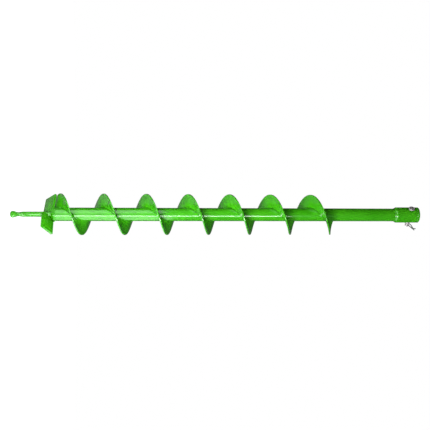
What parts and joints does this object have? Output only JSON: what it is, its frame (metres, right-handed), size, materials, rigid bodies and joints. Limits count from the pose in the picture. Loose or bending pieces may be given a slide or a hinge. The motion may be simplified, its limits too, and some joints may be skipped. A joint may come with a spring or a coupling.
{
  "type": "soil auger bit",
  "caption": "Right-hand flighted soil auger bit with two welded cutters, a twisted fishtail pilot and a pinned drive coupler.",
  "frame": {"origin": "centre of the drive coupler's mouth", "axes": "+Z is the shaft's axis and points up out of the coupler towards the drill head, with the pilot's tip at Z = -0.799 m; X is the clevis pin's axis, with the pin's head on the -X side"},
  "size_m": [0.0788, 0.0854, 0.799],
  "materials": {
    "shaft_paint": "gloss",
    "flight_paint": "gloss",
    "cutter_paint": "gloss",
    "weld_paint": "gloss",
    "coupler_paint": "gloss",
    "pin_zinc": "zinc plated",
    "clip_steel": "drawn spring wire"
  },
  "bodies": {
    "auger": {"shaft_tube": "shaft_paint", "end_hub": "shaft_paint", "hub_weld": "weld_paint", "pilot_point": "shaft_paint", "pilot_weld": "weld_paint", "cutter_blade_1": "cutter_paint", "cutter_blade_2": "cutter_paint", "cutter_weld_1": "weld_paint", "cutter_weld_2": "weld_paint", "flight_1": "flight_paint", "flight_2": "flight_paint", "flight_3": "flight_paint", "flight_4": "flight_paint", "flight_5": "flight_paint", "flight_6": "flight_paint", "flight_7": "flight_paint", "flight_seam_welds": "weld_paint", "flight_root_weld": "weld_paint", "coupler_sleeve": "coupler_paint", "coupler_weld": "weld_paint"},
    "pin": {"clevis_pin": "pin_zinc"},
    "clip": {"r_clip": "clip_steel"}
  },
  "joints": [
    {"name": "pin_float", "type": "slide", "parent": "auger", "child": "pin", "axis": [-1, 0, 0], "range_m": [0, 0.008]},
    {"name": "clip_pull", "type": "slide", "parent": "pin", "child": "clip", "axis": [0, 0.8829, -0.4695], "range_m": [0, 0.028], "deforming": ["r_clip"]}
  ]
}
